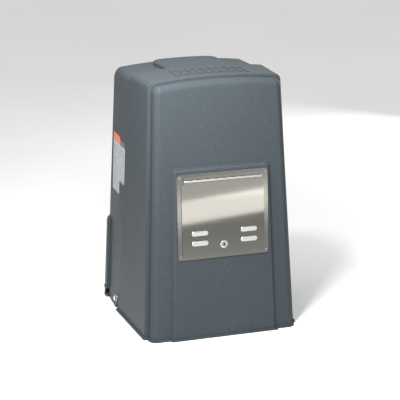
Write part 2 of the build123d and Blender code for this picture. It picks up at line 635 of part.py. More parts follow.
LIMIT_TEETH, LIMIT_TIP, LIMIT_ROOT, LIMIT_X = 24, 25.2, 21.6, 48.0
with BuildPart() as limit_drive_gear:
    y_cylinder(LIMIT_ROOT, 60, 68)
    y_cylinder(15, 56, 72)
    trapezoid_teeth(LIMIT_TEETH, LIMIT_ROOT, LIMIT_TIP, 2.8, 1.6, 60, 68)
    y_cylinder(SHAFT_R, 50, 80, mode=Mode.SUBTRACT)
save(limit_drive_gear, "limit_drive_gear")

# ---------------------------------------------------------------- worm, motor shaft, motor
WORM_CORE, WORM_TIP, WORM_TURNS = 14.2, 20.6, 6
WORM_START = AXIS_Z - 3 * WORM_PITCH
with BuildPart() as worm:
    z_cylinder(WORM_CORE, 78, 146)
    with BuildLine(Location((WORM_X, WHEEL_Y, WORM_START))):
        helix = Helix(pitch=WORM_PITCH, height=WORM_TURNS * WORM_PITCH, radius=WORM_CORE)
    with BuildSketch(Plane(origin=helix @ 0, x_dir=(1, 0, 0), z_dir=helix % 0)):
        Polygon((-0.8, 2.1), (-0.8, -2.1), (WORM_TIP - WORM_CORE, -1.0), (WORM_TIP - WORM_CORE, 1.0), align=None)
    sweep(is_frenet=True)
    z_cylinder(MOTOR_SHAFT_R, 60, 160, mode=Mode.SUBTRACT)
save(worm, "worm")

with BuildPart() as worm_bearing:
    z_cylinder(16, 60.2, 71)
    z_cylinder(MOTOR_BORE, 50, 80, mode=Mode.SUBTRACT)
save(worm_bearing, "worm_bearing")

with BuildPart() as motor_shaft:
    z_cylinder(MOTOR_SHAFT_R, 61, 406)
    chamfer(motor_shaft.edges().filter_by(GeomType.CIRCLE), length=1.0)
save(motor_shaft, "motor_shaft")

CASING_R, CASING_INNER = 62.0, 58.0
with BuildPart() as motor_casing:
    z_cylinder(72, 176, 186)
    z_cylinder(CASING_R, 186, 368)
    with BuildSketch(Plane.XY.offset(196)):
        with Locations((WORM_X, WHEEL_Y)):
            with PolarLocations(CASING_R + 1.5, 36):
                Rectangle(6, 2.4)
    extrude(amount=160)
    z_cylinder(CASING_INNER, 192, 380, mode=Mode.SUBTRACT)
    z_cylinder(MOTOR_BORE, 170, 200, mode=Mode.SUBTRACT)
    with Locations((WORM_X, WHEEL_Y, 180)):
        with PolarLocations(66, 4, start_angle=45):
            Cylinder(3, 30, mode=Mode.SUBTRACT)
save(motor_casing, "motor_casing")

with BuildPart() as motor_screws:
    with Locations((WORM_X, WHEEL_Y, 176)):
        with PolarLocations(66, 4, start_angle=45):
            Cylinder(3, 20)
    with Locations((WORM_X, WHEEL_Y, 188.5)):
        with PolarLocations(67.2, 4, start_angle=45):
            Cylinder(4.6, 5)
save(motor_screws, "motor_screws")

with BuildPart() as stator:
    z_cylinder(CASING_INNER, 215, 345)
    z_cylinder(36, 200, 360, mode=Mode.SUBTRACT)
save(stator, "stator")

with BuildPart() as rotor_core:
    z_cylinder(35, 218, 342)
    z_cylinder(MOTOR_SHAFT_R, 200, 360, mode=Mode.SUBTRACT)
save(rotor_core, "rotor_core")

with BuildPart() as motor_end_bell:
    z_cylinder(CASING_R, 368, 378)
    z_cylinder(20, 362, 370)
    z_cylinder(MOTOR_BORE, 350, 390, mode=Mode.SUBTRACT)
    with Locations((WORM_X, WHEEL_Y, 372)):
        with PolarLocations(42, 8):
            Cylinder(6, 30, mode=Mode.SUBTRACT)
save(motor_end_bell, "motor_end_bell")

with BuildPart() as cooling_fan:
    z_cylinder(17, 384, 402)
    z_cylinder(48, 384, 386)
    with BuildSketch(Plane.XY.offset(385)):
        with Locations((WORM_X, WHEEL_Y)):
            with PolarLocations(31, 8):
                Rectangle(30, 2)
    extrude(amount=16)
    z_cylinder(MOTOR_SHAFT_R, 370, 410, mode=Mode.SUBTRACT)
save(cooling_fan, "cooling_fan")

with BuildPart() as fan_cowl:
    z_cylinder(CASING_R, 378, 418)
    fillet(fan_cowl.edges().sort_by(Axis.Z)[-1], radius=8)
    z_cylinder(CASING_R - 2, 370, 410, mode=Mode.SUBTRACT)
    z_cylinder(CASING_R - 12, 400, 416, mode=Mode.SUBTRACT)
    with BuildSketch(Plane.XY.offset(430)):
        with Locations((WORM_X, WHEEL_Y)):
            for radius in (18, 30, 42):
                with PolarLocations(radius, int(radius / 2.2)):
                    Circle(2.6)
    extrude(amount=-40, mode=Mode.SUBTRACT)
save(fan_cowl, "fan_cowl")

CAP_X, CAP_R = 44.0, 19.0
with BuildPart() as run_capacitor:
    z_cylinder(CAP_R, 250, 330, x=CAP_X)
    fillet(run_capacitor.edges().filter_by(GeomType.CIRCLE), radius=2.5)
    for y in (WHEEL_Y - 6, WHEEL_Y + 6):
        z_cylinder(2.5, 329, 338, x=CAP_X, y=y)
save(run_capacitor, "run_capacitor")

with BuildPart() as capacitor_clamp:
    z_cylinder(CAP_R + 1.5, 282, 300, x=CAP_X)
    span_box((CASING_R + WORM_X - 2, CAP_X - 12), (WHEEL_Y - 9, WHEEL_Y + 9), (284, 298))
    z_cylinder(CAP_R, 270, 310, x=CAP_X, mode=Mode.SUBTRACT)
    z_cylinder(CASING_R + 4.8, 270, 310, mode=Mode.SUBTRACT)
save(capacitor_clamp, "capacitor_clamp")

# ================================================================ chain idlers
IDLER_X, IDLER_Z, IDLER_R = 95.0, 46.0, 34.0
with BuildPart() as idler_brackets:
    for side in (-1, 1):
        span_box((side * IDLER_X - 22, side * IDLER_X + 22), (160, 166), (6, 74))
        span_box((side * IDLER_X - 22, side * IDLER_X + 22), (160, 205), (6, 10))
    fillet([e for e in idler_brackets.edges().filter_by(Axis.Y) if e.center().Z > 70], radius=14)
    for side in (-1, 1):
        y_cylinder(6, 150, 170, x=side * IDLER_X, z=IDLER_Z, mode=Mode.SUBTRACT)
save(idler_brackets, "idler_brackets")

with BuildPart() as idler_axles:
    for side in (-1, 1):
        y_cylinder(6, 160, 198, x=side * IDLER_X, z=IDLER_Z)
        y_cylinder(9, 166, 177.4, x=side * IDLER_X, z=IDLER_Z)
        y_cylinder(10, 194.6, 201, x=side * IDLER_X, z=IDLER_Z)
save(idler_axles, "idler_axles")


def idler(x):
    """Grooved wheel that carries the chain down to the slot."""
    with BuildPart() as wheel:
        y_cylinder(IDLER_R, 178, 194, x=x, z=IDLER_Z)
        chamfer(wheel.edges().filter_by(GeomType.CIRCLE), length=1.5)
        with BuildSketch(Plane(origin=(x, 182, IDLER_Z), x_dir=(1, 0, 0), z_dir=(0, 1, 0))):
            Circle(IDLER_R + 5)
            Circle(25, mode=Mode.SUBTRACT)
        extrude(amount=8, mode=Mode.SUBTRACT)
        y_cylinder(6.05, 170, 200, x=x, z=IDLER_Z, mode=Mode.SUBTRACT)
        with Locations((x, 186, IDLER_Z)):
            with Locations(Rotation(90, 0, 0)):
                with PolarLocations(16, 5):
                    Cylinder(3.5, 30, mode=Mode.SUBTRACT)
    return wheel


save(idler(-IDLER_X), "left_idler")
save(idler(IDLER_X), "right_idler")

# ================================================================ limit switch assembly
LIMIT_SHAFT_R, LIMIT_BORE = 7.0, 7.05
PLATE_FRONT, PLATE_REAR = (-121.0, -117.0), (48.0, 52.0)
MIRROR_Y = (PLATE_FRONT[1] + PLATE_REAR[0]) / 2
with BuildPart() as limit_bracket:
    for plate in (PLATE_FRONT, PLATE_REAR):
        span_box((26, 92), plate, (6, 132))
    span_box((26, 92), (PLATE_FRONT[0], PLATE_REAR[1]), (72, 76))
    span_box((88, 92), (PLATE_FRONT[0], PLATE_REAR[1]), (72, 132))
    span_box((26, 92), (PLATE_FRONT[0], PLATE_FRONT[0] + 26), (6, 10))
    span_box((26, 92), (PLATE_REAR[1] - 26, PLATE_REAR[1]), (6, 10))
    y_cylinder(LIMIT_BORE, -130, 60, x=LIMIT_X, mode=Mode.SUBTRACT)
    for y in (-60, -20):
        with Locations((90, y, 104)):
            Box(10, 24, 30, mode=Mode.SUBTRACT)
save(limit_bracket, "limit_bracket")

with BuildPart() as limit_shaft:
    y_cylinder(LIMIT_SHAFT_R, -124, 72, x=LIMIT_X)
    chamfer(limit_shaft.edges().filter_by(GeomType.CIRCLE), length=0.8)
    for start, end in ((-124, -122), (-116.4, -115.8), (46.8, 47.4)):
        y_cylinder(9, start, end, x=LIMIT_X)
save(limit_shaft, "limit_shaft")

with BuildPart() as limit_gear:
    y_cylinder(LIMIT_ROOT, 60, 68, x=LIMIT_X)
    y_cylinder(11, 53, 68, x=LIMIT_X)
    trapezoid_teeth(LIMIT_TEETH, LIMIT_ROOT, LIMIT_TIP, 2.8, 1.6, 60, 68, x=LIMIT_X, first=7.5)
    y_cylinder(LIMIT_SHAFT_R, 50, 80, x=LIMIT_X, mode=Mode.SUBTRACT)
save(limit_gear, "limit_gear")


def limit_nut(start):
    """Travelling nut, kept from turning by the guide bar in its notch."""
    with BuildPart() as nut:
        y_cylinder(14, start, start + 14, x=LIMIT_X)
        y_cylinder(LIMIT_BORE, start - 1, start + 15, x=LIMIT_X, mode=Mode.SUBTRACT)
        span_box((LIMIT_X - 2.5, LIMIT_X + 2.5), (start - 1, start + 15), (119, 130), mode=Mode.SUBTRACT)
        fillet([e for e in nut.edges().filter_by(GeomType.CIRCLE) if e.radius > 13], radius=1.0)
    return nut


save(limit_nut(0.0), "open_limit_nut")
save(limit_nut(-83.0), "close_limit_nut")

with BuildPart() as nut_guide:
    span_box((LIMIT_X - 2, LIMIT_X + 2), (PLATE_FRONT[1], PLATE_REAR[0]), (120, 128))
save(nut_guide, "nut_guide")

LEVER_X, LEVER_Y = 80.0, 38.9
with BuildPart() as rear_switch:
    span_box((64, 84), (41.5, PLATE_REAR[0]), (99, 119))
    for z in (99, 115.4):
        span_box((77.5, 82.5), (36.5, 42), (z, z + 3.6))
    z_cylinder(1.0, 99, 119, x=LEVER_X, y=LEVER_Y)
    y_cylinder(1.5, 40.7, 42, x=70, z=109)
    for z in (103, 109, 115):
        span_box((83, 87.5), (43, 46), (z - 1.5, z + 1.5))
with BuildPart() as limit_switches:
    add(rear_switch.part)
    mirror(about=Plane.XZ.offset(-MIRROR_Y))
save(limit_switches, "limit_switches")

with BuildPart() as open_switch_lever:
    span_box((56.5, LEVER_X), (LEVER_Y - 0.4, LEVER_Y + 0.4), (103.2, 114.8))
    z_cylinder(2.0, 103.2, 114.8, x=LEVER_X, y=LEVER_Y)
    z_cylinder(1.05, 100, 118, x=LEVER_X, y=LEVER_Y, mode=Mode.SUBTRACT)
save(open_switch_lever, "open_switch_lever")
with BuildPart() as close_switch_lever:
    add(open_switch_lever.part.mirror(Plane.XZ.offset(-MIRROR_Y)))
save(close_switch_lever, "close_switch_lever")

# ================================================================ chassis panel and control box
with BuildPart() as chassis_panel:
    span_box((-112, 112), (-130, -126), (6, 470))
    for x in (-112, 108):
        span_box((x, x + 4), (-130, -98), (150, 470))
    for x in (-112, 40):
        span_box((x, x + 72), (-166, -126), (6, 10))
    with Locations((0, -128, 150)):
        Box(20, 10, 20, mode=Mode.SUBTRACT)
    for x in (-60, 0, 60):
        with Locations((x, -128, 455)):
            Cylinder(6, 20, rotation=(90, 0, 0), mode=Mode.SUBTRACT)
save(chassis_panel, "chassis_panel")

BOX_X, BOX_Y, BOX_Z = 100.0, (-186.0, -130.0), (200.0, 440.0)
with BuildPart() as control_box:
    span_box((-BOX_X, BOX_X), BOX_Y, BOX_Z)
    span_box((-BOX_X + 1.5, BOX_X - 1.5), (BOX_Y[0] - 5, BOX_Y[1] - 1.5), (BOX_Z[0] + 1.5, BOX_Z[1] - 1.5),
             mode=Mode.SUBTRACT)
    for x in (-70, 70):
        z_cylinder(11, BOX_Z[0] - 5, BOX_Z[0] + 5, x=x, y=-158, mode=Mode.SUBTRACT)
save(control_box, "control_box")

with BuildPart() as circuit_board:
    span_box((-90, 90), (-160, -158.4), (256, 430))
    for x in (-60, -30, 0):
        span_box((x - 9, x + 9), (-164, -160), (396, 400))
    for x, z, w, h, d in ((60, 350, 30, 30, 5), (20, 350, 22, 12, 4), (-10, 330, 14, 30, 4), (60, 310, 26, 12, 9)):
        span_box((x - w / 2, x + w / 2), (-160 - d, -160), (z - h / 2, z + h / 2))
    for x in (-20, 0, 20):
        y_cylinder(5, -174, -160, x=x, z=300)
save(circuit_board, "circuit_board")

with BuildPart() as board_standoffs:
    for x in (-82, 82):
        for z in (264, 422):
            y_cylinder(3, -158.4, -131.5, x=x, z=z)
save(board_standoffs, "board_standoffs")

with BuildPart() as relays:
    for x in (-66, -38, -10):
        span_box((x - 10, x + 10), (-178, -164.2), (376, 412))
        for z in (380, 408):
            span_box((x - 6, x + 6), (-165, -160), (z - 2, z + 2))
save(relays, "relays")

with BuildPart() as transformer:
    span_box((-84, -36), (-180, -160), (316, 356))
    span_box((-74, -46), (-183, -160), (308, 364))
save(transformer, "transformer")

with BuildPart() as terminal_strip:
    span_box((-80, 80), (-176, -160), (262, 280))
    for i in range(14):
        y_cylinder(3.4, -180, -172, x=-71.5 + 11 * i, z=271, mode=Mode.SUBTRACT)
        y_cylinder(2.6, -174, -171, x=-71.5 + 11 * i, z=271)
save(terminal_strip, "terminal_strip")

ROCKER_X, BUTTON_X, OUTLET_X, SWITCH_Z = -62.0, -14.0, 48.0, 226.0
with BuildPart() as switch_plate:
    span_box((-98.5, 98.5), (-184, -182), (201.5, 250))
    span_box((-98.5, 98.5), (-184, -170), (249, 250.5))
    span_box((ROCKER_X - 10, ROCKER_X + 10), (-182, -170), (SWITCH_Z - 16, SWITCH_Z + 16))
    span_box((ROCKER_X - 8, ROCKER_X + 8), (-190, -172), (SWITCH_Z - 13.5, SWITCH_Z + 13.5), mode=Mode.SUBTRACT)
    y_cylinder(9, -182, -168, x=BUTTON_X, z=SWITCH_Z)
    y_cylinder(5.3, -190, -170, x=BUTTON_X, z=SWITCH_Z, mode=Mode.SUBTRACT)
    with Locations((OUTLET_X, -182, SWITCH_Z)):
        Box(68, 10, 34, mode=Mode.SUBTRACT)
save(switch_plate, "switch_plate")

with BuildPart() as power_rocker:
    with BuildSketch(Plane(origin=(ROCKER_X, 0, 0), x_dir=(0, 1, 0), z_dir=(1, 0, 0))):
        Polygon((-185.8, SWITCH_Z), (-187.5, SWITCH_Z + 12), (-179, SWITCH_Z + 12), (-176, SWITCH_Z + 3),
                (-176, SWITCH_Z - 3), (-179, SWITCH_Z - 12), (-187.5, SWITCH_Z - 12), align=None)
    extrude(amount=7.4, both=True)
    with Locations((ROCKER_X, -181, SWITCH_Z)):
        Cylinder(2.0, 15.6, rotation=(0, 90, 0))
save(power_rocker, "power_rocker")

with BuildPart() as reset_button:
    y_cylinder(5.0, -188, -175, x=BUTTON_X, z=SWITCH_Z)
    fillet(reset_button.edges().sort_by(Axis.Y)[0], radius=1.2)
save(reset_button, "reset_button")

with BuildPart() as service_outlet:
    span_box((OUTLET_X - 34, OUTLET_X + 34), (-186, -165), (SWITCH_Z - 17, SWITCH_Z + 17))
    for x in (OUTLET_X - 17, OUTLET_X + 17):
        y_cylinder(14, -190, -185, x=x, z=SWITCH_Z, mode=Mode.SUBTRACT)
        y_cylinder(13.5, -187, -180, x=x, z=SWITCH_Z)
        for dx, h in ((-5.5, 8.5), (5.5, 7.0)):
            with Locations((x + dx, -186, SWITCH_Z + 2.5)):
                Box(1.8, 12, h, mode=Mode.SUBTRACT)
        with Locations((x, -186, SWITCH_Z - 6)):
            Cylinder(2.4, 12, rotation=(90, 0, 0), mode=Mode.SUBTRACT)
save(service_outlet, "service_outlet")
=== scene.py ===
"""Looks of the floor-standing gate and door operator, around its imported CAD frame. Metres, +Z up."""

import json
import math

import bpy
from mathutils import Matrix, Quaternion, Vector


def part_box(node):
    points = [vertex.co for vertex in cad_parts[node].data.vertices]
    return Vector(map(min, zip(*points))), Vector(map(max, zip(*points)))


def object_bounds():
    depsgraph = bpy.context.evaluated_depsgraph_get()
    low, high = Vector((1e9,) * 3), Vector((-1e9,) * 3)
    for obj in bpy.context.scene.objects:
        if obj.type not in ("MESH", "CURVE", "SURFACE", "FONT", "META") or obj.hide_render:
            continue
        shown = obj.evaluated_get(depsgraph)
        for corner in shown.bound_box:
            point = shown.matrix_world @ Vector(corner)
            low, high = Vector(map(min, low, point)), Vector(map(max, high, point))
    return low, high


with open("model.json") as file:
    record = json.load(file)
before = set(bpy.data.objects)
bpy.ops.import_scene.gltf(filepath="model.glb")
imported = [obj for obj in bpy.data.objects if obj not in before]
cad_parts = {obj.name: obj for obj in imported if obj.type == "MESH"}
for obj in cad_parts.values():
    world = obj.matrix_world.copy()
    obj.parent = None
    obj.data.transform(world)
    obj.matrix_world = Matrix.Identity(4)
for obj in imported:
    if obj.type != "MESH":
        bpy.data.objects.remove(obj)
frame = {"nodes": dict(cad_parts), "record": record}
cad_low, cad_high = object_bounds()
nodes = frame["nodes"]


# ---------------------------------------------------------------- node helpers
MIX_FACTOR, MIX_FIRST, MIX_SECOND, MIX_RESULT = 0, 6, 7, 2      # colour sockets of a Mix node


class Graph:
    """A material's node tree, with short names for the nodes used here."""

    def __init__(self, name):
        self.material = bpy.data.materials.new(name)
        self.material.use_nodes = True
        self.tree = self.material.node_tree
        self.shader = self.tree.nodes["Principled BSDF"]
        self.where = self.add("ShaderNodeTexCoord").outputs["Object"]

    def add(self, kind, **settings):
        node = self.tree.nodes.new(kind)
        for key, value in settings.items():
            setattr(node, key, value)
        return node

    def link(self, source, target):
        self.tree.links.new(source, target)

    def feed(self, socket, value):
        """Give a socket a number, a colour or the output of another node."""
        if isinstance(value, (int, float)):
            socket.default_value = value
        elif isinstance(value, tuple):
            socket.default_value = (*value, 1.0)
        else:
            self.link(value, socket)

    def stretched(self, scale):
        """Object coordinates stretched by a factor along each axis."""
        node = self.add("ShaderNodeMapping")
        self.link(self.where, node.inputs["Vector"])
        node.inputs["Scale"].default_value = scale
        return node.outputs["Vector"]

    def noise(self, scale, detail=4.0, rough=0.5, vector=None):
        node = self.add("ShaderNodeTexNoise")
        self.link(vector or self.where, node.inputs["Vector"])
        node.inputs["Scale"].default_value = scale
        node.inputs["Detail"].default_value = detail
        node.inputs["Roughness"].default_value = rough
        return node.outputs["Fac"]

    def cells(self, scale):
        node = self.add("ShaderNodeTexVoronoi")
        self.link(self.where, node.inputs["Vector"])
        node.inputs["Scale"].default_value = scale
        return node.outputs["Distance"]

    def ramp(self, source, *stops):
        """Colour ramp from (position, colour) stops."""
        node = self.add("ShaderNodeValToRGB")
        elements = node.color_ramp.elements
        while len(elements) < len(stops):
            elements.new(0.5)
        for element, (position, colour) in zip(elements, stops):
            element.position = position
            element.color = (*colour, 1.0)
        self.link(source, node.inputs["Fac"])
        return node.outputs["Color"]

    def remap(self, source, low, high, from_low=0.0, from_high=1.0):
        """Take the range from_low to from_high to the range low to high, held at its ends."""
        node = self.add("ShaderNodeMapRange")
        self.link(source, node.inputs["Value"])
        node.inputs["From Min"].default_value = from_low
        node.inputs["From Max"].default_value = from_high
        node.inputs["To Min"].default_value = low
        node.inputs["To Max"].default_value = high
        return node.outputs["Result"]

    def math(self, operation, first, second):
        node = self.add("ShaderNodeMath", operation=operation)
        for socket, value in zip(node.inputs, (first, second)):
            self.feed(socket, value)
        return node.outputs["Value"]

    def mix(self, factor, first, second):
        """Colour that goes from the first to the second as the factor goes from 0 to 1."""
        node = self.add("ShaderNodeMix", data_type="RGBA")
        self.feed(node.inputs[MIX_FACTOR], factor)
        self.feed(node.inputs[MIX_FIRST], first)
        self.feed(node.inputs[MIX_SECOND], second)
        return node.outputs[MIX_RESULT]

    def split(self):
        """Object coordinates, one by one."""
        node = self.add("ShaderNodeSeparateXYZ")
        self.link(self.where, node.inputs["Vector"])
        return node.outputs["X"], node.outputs["Y"], node.outputs["Z"]

    def bump(self, height, distance, strength, under=None):
        node = self.add("ShaderNodeBump")
        node.inputs["Strength"].default_value = strength
        node.inputs["Distance"].default_value = distance
        self.link(height, node.inputs["Height"])
        if under is not None:
            self.link(under, node.inputs["Normal"])
        return node.outputs["Normal"]

    def finish(self, colour, roughness, normal=None, metallic=0.0, **sockets):
        """Set the shader's own sockets and return the material."""
        self.feed(self.shader.inputs["Base Color"], colour)
        self.feed(self.shader.inputs["Roughness"], roughness)
        if normal is not None:
            self.link(normal, self.shader.inputs["Normal"])
        self.shader.inputs["Metallic"].default_value = metallic
        for name, value in sockets.items():
            self.shader.inputs[name.replace("_", " ")].default_value = value
        return self.material


def tinted(colour, factor):
    """A colour made lighter or darker by a factor."""
    return tuple(min(1.0, c * factor) for c in colour)


# ---------------------------------------------------------------- materials
MIDDLE = (0.3, 0.7)             # nearly all values of a noise lie between these
HOOD_GREY = (0.038, 0.046, 0.0515)


def hood_plastic():
    """Moulded plastic of low shine, with a fine grain, slight mottling and a few handling scuffs."""
    g = Graph("hood_plastic")
    mottle = g.noise(7.0, detail=6, rough=0.6)
    speckle = g.noise(420.0, detail=2, rough=0.7)
    colour = g.ramp(mottle, (0.3, tinted(HOOD_GREY, 0.94)), (0.7, tinted(HOOD_GREY, 1.05)))
    colour = g.mix(g.remap(speckle, 0.0, 0.25, 0.35, 0.75), colour, tinted(HOOD_GREY, 1.5))
    grains = g.noise(260.0, detail=1, rough=0.4)
    colour = g.mix(g.remap(grains, 0.0, 1.0, 0.40, 0.60), tinted(HOOD_GREY, 0.93), colour)
    scuffs = g.noise(30.0, detail=8, rough=0.75, vector=g.stretched((1.0, 1.0, 0.25)))
    worn = g.remap(scuffs, 0.0, 0.07, 0.55, 0.75)
    roughness = g.math("ADD", g.remap(mottle, 0.34, 0.41, *MIDDLE), worn)
    grain = g.math("ADD", g.cells(900.0), g.math("MULTIPLY", g.noise(1500.0, detail=2), 0.5))
    normal = g.bump(grain, 0.00022, 0.5)
    normal = g.bump(g.noise(14.0, detail=2), 0.0016, 0.12, under=normal)
    return g.finish(colour, roughness, normal, Specular_IOR_Level=0.03)


def brushed_steel(name, colour, along=(6.0, 900.0, 900.0)):
    """Bare metal with long fine brush lines along the least stretched axis."""
    g = Graph(name)
    lines = g.noise(1.0, detail=6, rough=0.65, vector=g.stretched(along))
    cloud = g.noise(9.0, detail=4)
    shade = g.ramp(lines, (0.25, tinted(colour, 0.86)), (0.75, tinted(colour, 1.08)))
    shade = g.mix(g.remap(cloud, 0.0, 0.16, 0.4, 0.7), shade, tinted(colour, 0.80))
    rough = g.math("ADD", g.remap(lines, 0.26, 0.38, *MIDDLE), g.remap(cloud, -0.03, 0.05))
    return g.finish(shade, rough, g.bump(lines, 0.00012, 0.35), metallic=1.0)


# The hood's front is a plane that meets the ground at FRONT_Y and leans back.
FRONT_Y, FRONT_LEAN = -0.225, math.atan(46.5 / 691.0)
EMBOSS_FADE = 0.0008            # height over which a pressed edge goes from plain to the painted highlight
# Painted highlight colour laid on the raised edges, louvres and hinge.
RAISED_HIGHLIGHT_COLOUR = (0.47, 0.47, 0.455)

# How far in front of that plane the raised edges of each piece start. The rivets have none.
DOOR_PROUD, FRAME_PROUD, NOT_PROUD = 0.0222, 0.0215, 1.0


def sheet_steel(name, colour, roughness, proud):
    """Rolled sheet with level brush lines, with a painted highlight and more roughness where it stands
    proud of the front plane.
    """
    g = Graph(name)
    lines = g.noise(1.0, detail=6, rough=0.65, vector=g.stretched((5.0, 700.0, 700.0)))
    cloud = g.noise(6.0, detail=3)
    _, y, z = g.split()
    forward = g.math("MULTIPLY", y, -math.cos(FRONT_LEAN))
    upward = g.math("MULTIPLY", z, math.sin(FRONT_LEAN))
    start = proud - FRONT_Y * math.cos(FRONT_LEAN)
    raised = g.remap(g.math("ADD", forward, upward), 0.0, 1.0, start, start + EMBOSS_FADE)
    shade = g.ramp(lines, (0.25, tinted(colour, 0.92)), (0.75, tinted(colour, 1.06)))
    shade = g.mix(g.remap(cloud, 0.0, 0.2, 0.4, 0.7), shade, tinted(colour, 0.85))
    # Painted highlight: the proud parts are mixed towards a lighter steel colour.
    shade = g.mix(raised, shade, RAISED_HIGHLIGHT_COLOUR)
    rough = g.math("ADD", g.remap(lines, *roughness, *MIDDLE), g.math("MULTIPLY", raised, 0.30))
    return g.finish(shade, rough, g.bump(lines, 0.00003, 0.3), metallic=1.0)


def plated_steel(name, colour, roughness=(0.12, 0.26)):
    """Bright or zinc plating with faint spangle and fine scratches."""
    g = Graph(name)
    spangle = g.cells(260.0)
    scratch = g.noise(1.0, detail=5, rough=0.7, vector=g.stretched((220.0, 1400.0, 260.0)))
    shade = g.ramp(spangle, (0.1, tinted(colour, 0.88)), (0.8, tinted(colour, 1.06)))
    rough = g.remap(scratch, *roughness, *MIDDLE)
    return g.finish(shade, rough, g.bump(scratch, 0.00005, 0.3), metallic=1.0)


def enamel(name, colour, chips=(0.36, 0.37, 0.38)):
    """Sprayed paint: orange peel, cloudy patches of tone and a few chips down to primer."""
    g = Graph(name)
    cloud = g.noise(11.0, detail=5)
    shade = g.ramp(cloud, (0.3, tinted(colour, 0.86)), (0.75, tinted(colour, 1.16)))
    flaws = g.noise(55.0, detail=9, rough=0.8)
    shade = g.mix(g.remap(flaws, 0.0, 1.0, 0.735, 0.76), shade, chips)
    rough = g.remap(cloud, 0.32, 0.5, *MIDDLE)
    return g.finish(shade, rough, g.bump(g.noise(380.0, detail=2), 0.0003, 0.25))


def cast_metal(name, colour):
    """Rough casting or stacked laminations with an oily film."""
    g = Graph(name)
    lump = g.noise(130.0, detail=6, rough=0.6)
    shade = g.ramp(lump, (0.3, tinted(colour, 0.7)), (0.7, tinted(colour, 1.2)))
    rough = g.remap(g.noise(20.0), 0.42, 0.66, *MIDDLE)
    return g.finish(shade, rough, g.bump(lump, 0.0006, 0.5), metallic=0.85)


def moulded(name, colour, roughness=(0.34, 0.48)):
    """Plain moulded plastic with fine grain and faint flow marks."""
    g = Graph(name)
    flow = g.noise(18.0, detail=4, vector=g.stretched((1.0, 1.0, 0.4)))
    shade = g.ramp(flow, (0.3, tinted(colour, 0.9)), (0.7, tinted(colour, 1.1)))
    rough = g.remap(flow, *roughness, *MIDDLE)
    return g.finish(shade, rough, g.bump(g.cells(700.0), 0.00012, 0.3))


def rubber():
    """Matt black rubber, greyed by dust in patches."""
    g = Graph("gasket_rubber")
    dust = g.noise(90.0, detail=6)
    shade = g.ramp(dust, (0.35, (0.018, 0.018, 0.019)), (0.75, (0.05, 0.05, 0.052)))
    return g.finish(shade, g.remap(dust, 0.6, 0.85), g.bump(dust, 0.0003, 0.4))


# Half the spacing and half the width of the board's tracks, upright ones first.
HALF_PITCH, CROSS_HALF_PITCH = 0.0022, 0.0031
HALF_WIDTH, CROSS_HALF_WIDTH = 0.0005, 0.0004


def solder_mask():
    """Circuit board green with copper tracks showing through as a faint grid."""
    g = Graph("board_green")
    x, _, z = g.split()
    wander = g.math("MULTIPLY", g.noise(40.0, detail=0), 0.004)
    track = g.math("LESS_THAN", g.math("PINGPONG", g.math("ADD", x, wander), HALF_PITCH), HALF_WIDTH)
    cross = g.math("LESS_THAN", g.math("PINGPONG", z, CROSS_HALF_PITCH), CROSS_HALF_WIDTH)
    lines = g.math("MAXIMUM", track, cross)
    shade = g.mix(g.math("MULTIPLY", lines, 0.5), (0.012, 0.105, 0.040), (0.04, 0.22, 0.08))
    return g.finish(shade, g.remap(g.noise(60.0), 0.18, 0.32), g.bump(lines, 0.00005, 0.5))


LABEL_MARGIN, BARS_TOP, HEADER_FROM = 0.09, 0.82, 0.87      # shares of a label's width and height


def label_print(name, node, bands, header):
    """Satin label, its paper darkened as painted shade: a coloured header over rows of ragged grey
    bars that hold no text.
    """
    low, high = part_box(node)
    g = Graph(name)
    _, y, z = g.split()
    across = g.remap(y, 0.0, 1.0, low.y, high.y)
    up = g.remap(z, 0.0, 1.0, low.z, high.z)
    # The white label paper is made dark grey: painted shade for the shaded side wall the labels sit
    # on.
    shaded_paper = g.ramp(g.noise(25.0), (0.3, (0.22, 0.25, 0.27)), (0.7, (0.26, 0.29, 0.31)))
    rows = g.math("PINGPONG", g.math("MULTIPLY", up, bands), 0.5)
    ragged = g.noise(1.0, detail=0, vector=g.stretched((1.0, 60.0, bands / (high.z - low.z) * 0.5)))
    bar = g.math("GREATER_THAN", rows, 0.3)
    for limit in (
        g.math("GREATER_THAN", ragged, 0.44),
        g.math("GREATER_THAN", across, LABEL_MARGIN),
        g.math("LESS_THAN", across, 1.0 - LABEL_MARGIN),
        g.math("LESS_THAN", up, BARS_TOP),
    ):
        bar = g.math("MULTIPLY", bar, limit)
    shade = g.mix(g.math("MULTIPLY", bar, 0.75), shaded_paper, (0.10, 0.10, 0.11))
    shade = g.mix(g.math("GREATER_THAN", up, HEADER_FROM), shade, header)
    return g.finish(shade, g.remap(g.noise(40.0), 0.25, 0.4), g.bump(g.noise(300.0), 0.00005, 0.2))


# Stretch of the brush lines along each axis: long along Y on steel and bronze, upright on the can.
STEEL_LINES, BRONZE_LINES, CAN_LINES = (500.0, 30.0, 500.0), (400.0, 40.0, 400.0), (300.0, 300.0, 20.0)

